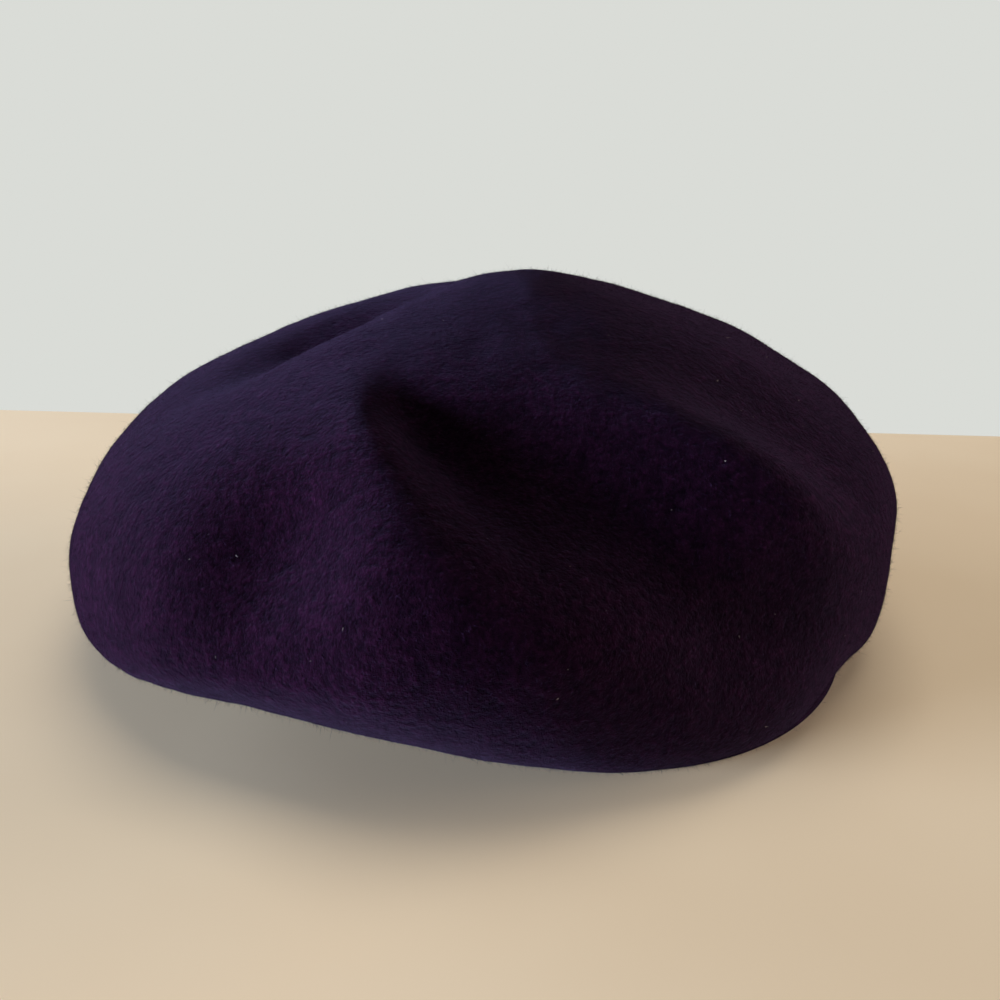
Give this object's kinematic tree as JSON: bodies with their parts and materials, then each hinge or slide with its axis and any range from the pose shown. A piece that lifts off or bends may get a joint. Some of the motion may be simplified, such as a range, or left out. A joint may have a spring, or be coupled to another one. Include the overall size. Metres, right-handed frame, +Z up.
{
  "type": "beret",
  "caption": "Soft round wool-felt beret slouched to one side, lying on its ribbon-lined head opening.",
  "frame": {"origin": "bottom centre of the bounding box, on the surface the beret lies on", "axes": "+Z up, +X towards the short side of the overhang, so the crown slouches towards -X, and +Y towards the wearer's back"},
  "size_m": [0.2796, 0.2766, 0.1183],
  "materials": {
    "felt": "thick brushed wool felt with a short fuzzy nap, dark aubergine",
    "ribbon": "woven grosgrain, near black",
    "thread": "twisted sewing thread, dark aubergine",
    "label": "woven damask, cream, blank",
    "tab": "satin tape, off-white, blank"
  },
  "bodies": {
    "root": {"felt_body": "felt", "sweatband_ribbon": "ribbon", "ribbon_stitch": "thread", "bow_loops": "ribbon", "bow_knot": "ribbon", "maker_label": "label", "label_stitch_left": "thread", "label_stitch_right": "thread", "care_label": "tab", "size_tab": "tab", "tab_stitch": "thread"}
  },
  "joints": []
}
